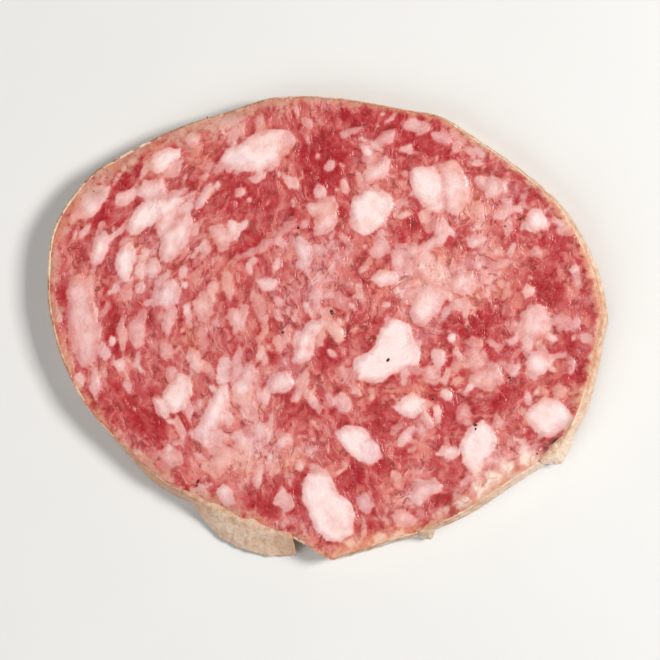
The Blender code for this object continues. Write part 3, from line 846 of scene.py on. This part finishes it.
def new_group(name, inputs, outputs):
    """An empty shader group with these (name, kind, default) inputs and (name, kind) outputs."""
    group = bpy.data.node_groups.new(name, "ShaderNodeTree")
    for label, kind, value in inputs:
        socket = group.interface.new_socket(label, in_out="INPUT", socket_type="NodeSocket" + kind)
        if value is not None:
            socket.default_value = value
    for label, kind in outputs:
        group.interface.new_socket(label, in_out="OUTPUT", socket_type="NodeSocket" + kind)
    return group, group.nodes.new("NodeGroupInput").outputs, group.nodes.new("NodeGroupOutput").inputs


def use_group(tree, group, inputs):
    """Places a shader group with these inputs and returns its outputs."""
    return put(tree, "Group", inputs, node_tree=group).outputs


def flecks(tree, mottle, place, size, contrast, shift=0.0):
    """The mottle group's value with these settings."""
    return use_group(tree, mottle, {"Vector": place, "Size": size, "Contrast": contrast, "Shift": shift})[0]


def mottle_group():
    """Uneven flecks of one size, as a value from 0 to 1."""
    group, given, result = new_group(
        "mottle",
        [
            ("Vector", "Vector", None), ("Size", "Float", 0.001), ("Contrast", "Float", 2.0),
            ("Shift", "Float", 0.0),
        ],
        [("Value", "Float")],
    )
    scale = maths(group, "DIVIDE", 1.0, given["Size"])
    moved = put(group, "VectorMath", {0: given["Vector"], 1: given["Shift"]}, operation="ADD").outputs[0]
    noise = put(group, "TexNoise", {"Vector": moved, "Scale": scale, "Detail": 2.0, "Roughness": 0.5})
    spread = maths(group, "MULTIPLY_ADD", noise.outputs[0], given["Contrast"], 0.5)
    centred = maths(group, "SUBTRACT", spread, times(group, given["Contrast"], 0.5))
    group.links.new(put(group, "Clamp", {0: centred}).outputs[0], result["Value"])
    return group


def fibre_group():
    """Fibres that lie their own way in each patch: fine streaks, wandering strands, a tone."""
    group, given, result = new_group(
        "fibres",
        [
            ("Vector", "Vector", None), ("Patch", "Float", 0.004), ("Width", "Float", 0.0004),
            ("Stretch", "Float", 5.0), ("Grain", "Float", 0.0), ("Stray", "Float", 3.1),
        ],
        [("Streaks", "Float"), ("Strands", "Float"), ("Tone", "Float")],
    )
    border_scale, border_reach = 600.0, 0.0018
    strand_scale, strand_half_width = 0.36, 0.065
    across = maths(group, "DIVIDE", 1.0, given["Patch"])
    push = put(group, "TexNoise", {"Vector": given["Vector"], "Scale": border_scale, "Detail": 1.0})
    centred = put(group, "VectorMath", {0: push.outputs["Color"], 1: (0.5, 0.5, 0.5)}, operation="SUBTRACT")
    small = put(group, "VectorMath", {0: centred.outputs[0], "Scale": border_reach}, operation="SCALE")
    moved = put(group, "VectorMath", {0: given["Vector"], 1: small.outputs[0]}, operation="ADD").outputs[0]
    cells = put(group, "TexVoronoi", {"Vector": moved, "Scale": across})
    chance = put(group, "SeparateColor", {0: cells.outputs["Color"]})
    stray = times(group, maths(group, "SUBTRACT", chance.outputs[0], 0.5), given["Stray"])
    turned = put(
        group,
        "VectorRotate",
        {
            "Vector": moved,
            "Center": cells.outputs["Position"],
            "Angle": maths(group, "SUBTRACT", stray, given["Grain"]),
        },
        rotation_type="Z_AXIS",
    )
    fine = maths(group, "DIVIDE", 1.0, given["Width"])
    along = maths(group, "DIVIDE", fine, given["Stretch"])
    sizes = put(group, "CombineXYZ", {0: along, 1: fine, 2: fine}).outputs[0]
    drawn = put(group, "VectorMath", {0: turned.outputs[0], 1: sizes}, operation="MULTIPLY").outputs[0]
    noise = put(group, "TexNoise", {"Vector": drawn, "Scale": 1.0, "Detail": 2.0, "Roughness": 0.55})
    group.links.new(between(group, noise.outputs[0], 0.3, 0.7), result["Streaks"])
    wander = put(group, "TexNoise", {"Vector": drawn, "Scale": strand_scale, "Detail": 1.0, "Roughness": 0.5})
    away = maths(group, "ABSOLUTE", maths(group, "SUBTRACT", wander.outputs[0], 0.5))
    group.links.new(between(group, away, strand_half_width, 0.0), result["Strands"])
    group.links.new(chance.outputs[1], result["Tone"])
    return group


def new_material(name):
    material = bpy.data.materials.new(name)
    material.use_nodes = True
    tree = material.node_tree
    return material, tree, tree.nodes["Principled BSDF"], put(tree, "TexCoord").outputs["Object"]


def finish_surface(tree, shader, colour, roughness, height, strength, distance):
    """Gives a shader its colour, roughness and bump."""
    bump = put(tree, "Bump", {"Height": height, "Strength": strength, "Distance": distance})
    tree.links.new(colour, shader.inputs["Base Color"])
    tree.links.new(roughness, shader.inputs["Roughness"])
    tree.links.new(bump.outputs[0], shader.inputs["Normal"])


def let_light_in(shader, weight, radius, scale):
    """Lets a little light under the surface."""
    shader.inputs["Subsurface Weight"].default_value = weight
    shader.inputs["Subsurface Radius"].default_value = radius
    shader.inputs["Subsurface Scale"].default_value = scale


def cured_meat(mottle, fibres):
    """Lean and fat on one scale of paleness, with soft borders and wandering strands.

    Over them lie the dried rim, the golden rim, the cream border and painted shade darkening the cracks.
    """
    material, tree, shader, place = new_material("cured meat")
    fat, white, lean = (attribute(tree, name) for name in ("fat", "white", "lean"))
    rim, golden = attribute(tree, "dry"), attribute(tree, "golden")
    coarse = flecks(tree, mottle, place, 0.0019, 2.4)
    medium = flecks(tree, mottle, place, 0.0009, 2.4, 0.3)
    fine = flecks(tree, mottle, place, 0.0004, 2.2, 0.7)
    hue = flecks(tree, mottle, place, 0.0045, 3.0, 1.1)
    grain = {"Vector": place, "Grain": attribute(tree, "grain"), "Stray": attribute(tree, "stray")}
    patches = use_group(tree, fibres, {**grain, "Patch": 0.0034, "Width": 0.00046, "Stretch": 4.5})
    wisps = use_group(tree, fibres, {**grain, "Patch": 0.0066, "Width": 0.0007, "Stretch": 5.5})
    cords = use_group(tree, fibres, {**grain, "Patch": 0.0048, "Width": 0.0011, "Stretch": 4.0})

    # How pale the lean is, a little darker just beside the fat.
    edge = swayed(tree, fat, medium, 0.22)
    tone = added(tree, maths(tree, "SUBTRACT", lean, 0.10), patches["Tone"], 0.14)
    for other, amount in ((coarse, 0.17), (medium, 0.14), (fine, 0.04), (patches["Streaks"], 0.10)):
        tone = swayed(tree, tone, other, amount)
    tone = added(tree, tone, times(tree, wisps["Strands"], between(tree, coarse, 0.15, 0.65)), 0.12)
    beside = times(tree, between(tree, edge, -0.70, -0.32), between(tree, edge, 0.0, -0.28))
    tone = added(tree, tone, beside, -0.08)

    # How pale the fat is, and the two together.
    in_fat = between(tree, edge, -0.26, 0.15)
    pale = maths(tree, "MULTIPLY_ADD", white, 0.24, 0.60)
    more = maths(tree, "MULTIPLY_ADD", white, 0.12, 0.10)
    pale = added(tree, pale, between(tree, edge, 0.0, 1.3), more)
    pale = swayed(tree, pale, coarse, 0.14)
    pale = swayed(tree, pale, patches["Streaks"], 0.06)
    value = put(tree, "Mix", {0: in_fat, 2: put(tree, "Clamp", {0: tone}).outputs[0], 3: pale}).outputs[0]
    meat = graded(
        tree,
        value,
        [
            (0.0, (166, 32, 41)),
            (0.14, (179, 48, 53)),
            (0.28, (188, 68, 70)),
            (0.42, (194, 88, 87)),
            (0.56, (204, 114, 109)),
            (0.70, (222, 155, 149)),
            (0.85, (236, 190, 185)),
            (1.0, (247, 222, 218)),
        ],
    )

    # What is laid over it, and where.
    cord = times(tree, cords["Strands"], between(tree, in_fat, 0.9, 0.1, 0.0, 0.55))
    cord = times(tree, cord, between(tree, lean, 0.1, 0.5, 0.2, 1.0))
    line = times(tree, patches["Strands"], between(tree, coarse, 0.75, 0.35))
    line = times(tree, line, between(tree, in_fat, 0.0, 1.0, 0.75, 0.12))
    warm = times(tree, between(tree, hue, 0.55, 1.0), between(tree, value, 0.2, 0.6, 0.0, 0.25))
    cool = times(tree, between(tree, hue, 0.42, 0.0), between(tree, value, 0.3, 0.6, 0.0, 0.2))
    cell = between(tree, added(tree, attribute(tree, "cream"), coarse, 0.45), 0.45, 1.05)
    cream = layered(
        tree,
        mixed(tree, between(tree, coarse, 0.25, 0.6), (226, 158, 138), (250, 224, 208)),
        (between(tree, medium, 0.45, 0.15, 0.0, 0.6), (228, 168, 142)),
        (times(tree, wisps["Strands"], 0.6), (210, 120, 98)),
    )
    uneven = swayed(tree, swayed(tree, rim, medium, 0.6), coarse, 0.9)
    dry = times(tree, between(tree, uneven, 0.15, 1.0), between(tree, rim, 0.0, 0.25, 0.1, 0.7))
    crust = layered(
        tree,
        mixed(tree, attribute(tree, "grey_rim"), (200, 120, 82), (184, 140, 120)),
        (times(tree, medium, 0.6), (224, 176, 150)),
        (between(tree, hue, 0.5, 0.9, 0.0, 0.6), (190, 102, 66)),
        (between(tree, hue, 0.4, 0.1, 0.0, 0.5), (168, 142, 116)),
        (between(tree, fine, 0.22, 0.0), (120, 72, 56)),
    )
    gold = between(tree, added(tree, golden, medium, 0.5), 0.3, 1.2, 0.0, 0.85)
    gold = times(tree, gold, between(tree, golden, 0.02, 0.2))
    glaze = mixed(tree, between(tree, coarse, 0.25, 0.75), (220, 136, 108), (242, 196, 172))
    colour = layered(
        tree,
        meat,
        (cord, (232, 148, 134)),
        (line, (144, 42, 40)),
        (warm, (226, 140, 104)),
        (cool, (196, 120, 134)),
        (times(tree, cell, 0.9), cream),
        (dry, crust),
        (gold, glaze),
        # Painted shade: the cracks are darkened to brown, where shade falls in them.
        (times(tree, attribute(tree, "split"), 0.8), (100, 66, 50)),
    )

    moist = added(tree, between(tree, medium, 0.2, 0.8, 0.24, 0.46), dry, 0.2)
    height = added(tree, times(tree, patches["Streaks"], 0.7), fine, 0.5)
    height = times(tree, maths(tree, "ADD", height, medium), between(tree, in_fat, 0.0, 1.0, 1.0, 0.45))
    finish_surface(tree, shader, colour, moist, height, 0.5, 0.00012)
    shader.inputs["Specular IOR Level"].default_value = 0.36
    let_light_in(shader, 0.15, (1.0, 0.35, 0.25), 0.0007)
    return material


def natural_skin(mottle, fibres):
    """Dried skin: tan, with a pale powdery bloom on the folds, browner under its cut edge."""
    material, tree, shader, place = new_material("natural skin")
    up = attribute(tree, "up")
    coarse = flecks(tree, mottle, place, 0.0024, 2.4)
    fine = flecks(tree, mottle, place, 0.0006, 2.4, 0.2)
    broad = flecks(tree, mottle, place, 0.006, 3.0, 0.9)
    upright = put(tree, "Mapping", {"Vector": place, "Scale": (1.0, 1.0, 0.2)}).outputs[0]
    folds = flecks(tree, mottle, upright, 0.0008, 2.6, 0.5)
    lie = {"Vector": place, "Grain": attribute(tree, "grain"), "Stray": 0.6}
    dried = use_group(tree, fibres, {**lie, "Patch": 0.005, "Width": 0.0005, "Stretch": 7.0})

    base = graded(
        tree,
        added(tree, times(tree, folds, 0.5), coarse, 0.5),
        [(0.0, (178, 120, 88)), (0.3, (208, 162, 130)), (0.65, (228, 192, 166)), (1.0, (244, 220, 202))],
    )
    under_edge = times(tree, between(tree, up, 0.66, 0.84), between(tree, broad, 0.8, 0.3, 0.1, 0.7))
    lip = times(tree, between(tree, up, 0.95, 0.99), between(tree, broad, 0.2, 0.8, 0.15, 0.8))
    tanned = times(tree, attribute(tree, "tanned"), between(tree, coarse, 0.1, 0.6, 0.5, 1.0))
    colour = layered(
        tree,
        base,
        (times(tree, broad, 0.28), (188, 138, 98)),
        (under_edge, (190, 112, 68)),
        (lip, (236, 212, 182)),
        (times(tree, between(tree, fine, 0.16, 0.0), 0.55), (128, 92, 66)),
        (times(tree, dried["Strands"], 0.22), (252, 240, 226)),
        (attribute(tree, "pale"), (246, 222, 200)),
        # Painted shade and tan: darker tan on the lower left and at the flap's ends, partly the skin's own
        # colour.
        (tanned, (192, 128, 92)),
        (times(tree, between(tree, dried["Streaks"], 0.4, 0.0), 0.3), (190, 150, 112)),
    )
    height = added(tree, added(tree, folds, dried["Streaks"], 0.5), fine, 0.4)
    roughness = between(tree, fine, 0.0, 1.0, 0.48, 0.68)
    finish_surface(tree, shader, colour, roughness, height, 0.6, 0.00014)
    let_light_in(shader, 0.12, (1.0, 0.5, 0.3), 0.0006)
    return material


def cracked_pepper(mottle):
    """Pepper: nearly black husk with paler broken sides."""
    material, tree, shader, place = new_material("cracked pepper")
    fine = flecks(tree, mottle, place, 0.0003, 2.6, 0.4)
    colour = graded(tree, fine, [(0.0, (40, 26, 22)), (0.5, (74, 46, 38)), (1.0, (134, 92, 70))])
    finish_surface(tree, shader, colour, between(tree, fine, 0.0, 1.0, 0.5, 0.75), fine, 0.5, 0.00008)
    shader.inputs["Specular IOR Level"].default_value = 0.2
    return material


def pale_floor():
    """The floor: a plain pale sheet with the faintest unevenness."""
    material, tree, shader, place = new_material("pale floor")
    noise = put(tree, "TexNoise", {"Vector": place, "Scale": 40.0, "Detail": 3.0}).outputs[0]
    colour = mixed(tree, noise, (226, 225, 222), (232, 231, 228))
    tree.links.new(colour, shader.inputs["Base Color"])
    shader.inputs["Roughness"].default_value = 0.75
    clear_selection()
    bpy.ops.mesh.primitive_plane_add(size=3, location=(0, 0, -0.05 * MM))
    floor = named("floor")
    bpy.ops.object.transform_apply()
    floor.data.materials.append(material)


def soft_light(name, place, size, power, colour):
    """A square soft light that faces the slice."""
    lamp = bpy.data.lights.new(name, "AREA")
    lamp.shape = "SQUARE"
    lamp.size = size
    lamp.energy = power
    lamp.color = colour
    holder = bpy.data.objects.new(name, lamp)
    bpy.context.scene.collection.objects.link(holder)
    holder.location = place
    holder.rotation_euler = (-Vector(place)).to_track_quat("-Z", "Y").to_euler()


def studio():
    """A key light from the right, as in the photo, soft light all round, and a camera straight above."""
    scene = bpy.context.scene
    soft_light("key", (0.36, 0.08, 0.41), 0.16, 2.9, (1.0, 0.985, 0.96))
    soft_light("fill", (-0.42, -0.3, 0.42), 0.5, 2.05, (0.97, 0.985, 1.0))
    world = bpy.data.worlds.new("studio")
    world.use_nodes = True
    world.node_tree.nodes["Background"].inputs["Color"].default_value = (0.93, 0.94, 0.96, 1)
    world.node_tree.nodes["Background"].inputs["Strength"].default_value = 0.2
    scene.world = world
    scene.view_settings.view_transform = "Standard"
    lens = bpy.data.cameras.new("camera")
    lens.lens = 100
    lens.clip_start = 0.01
    camera = bpy.data.objects.new("camera", lens)
    scene.collection.objects.link(camera)
    camera.location = (0, 0, THICKNESS + VIEW_WIDTH * lens.lens / lens.sensor_width)
    scene.camera = camera


def finish_piece(piece, material):
    """Dresses a piece and ties it to the part."""
    piece.data.materials.clear()
    piece.data.materials.append(material)
    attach(piece, "root")
    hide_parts("slice")


def main():
    edge = closed_curve(EDGE, SKIN_AROUND)
    top, under = side_lines(edge)
    mottle, fibres = mottle_group(), fibre_group()
    meat = meat_body(edge, top, under)
    skins = [
        skin_band(edge, top, under),
        skin_flap("loose_flap", edge, top, pale=0.25, taper=(0.25, 0), inset=0.6, seed=31),
        skin_flap("skin_tatter", edge, top, pale=0.2, taper=(0.3, 0.3), inset=0.35, seed=34),
        skin_flap("skin_corner", edge, top, pale=0.75, taper=(0.2, 0.4), inset=0.35, seed=37),
    ]
    surface = points_of(meat)
    surface = surface[surface[:, 2] > 0.7 * THICKNESS]

    def top_height(x, y):
        near = np.argmin(np.hypot(surface[:, 0] - x, surface[:, 1] - y))
        return surface[near, 2]

    grains = pepper_grains(top_height, SEED)
    finish_piece(meat, cured_meat(mottle, fibres))
    skin = natural_skin(mottle, fibres)
    for piece in skins:
        finish_piece(piece, skin)
    finish_piece(grains, cracked_pepper(mottle))
    pale_floor()
    studio()


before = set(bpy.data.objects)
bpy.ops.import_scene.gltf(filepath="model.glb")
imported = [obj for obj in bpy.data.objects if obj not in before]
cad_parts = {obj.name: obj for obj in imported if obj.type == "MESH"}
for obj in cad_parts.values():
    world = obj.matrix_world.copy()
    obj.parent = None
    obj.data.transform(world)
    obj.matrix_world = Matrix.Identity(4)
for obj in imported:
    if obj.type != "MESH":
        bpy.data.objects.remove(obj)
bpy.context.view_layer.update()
main()
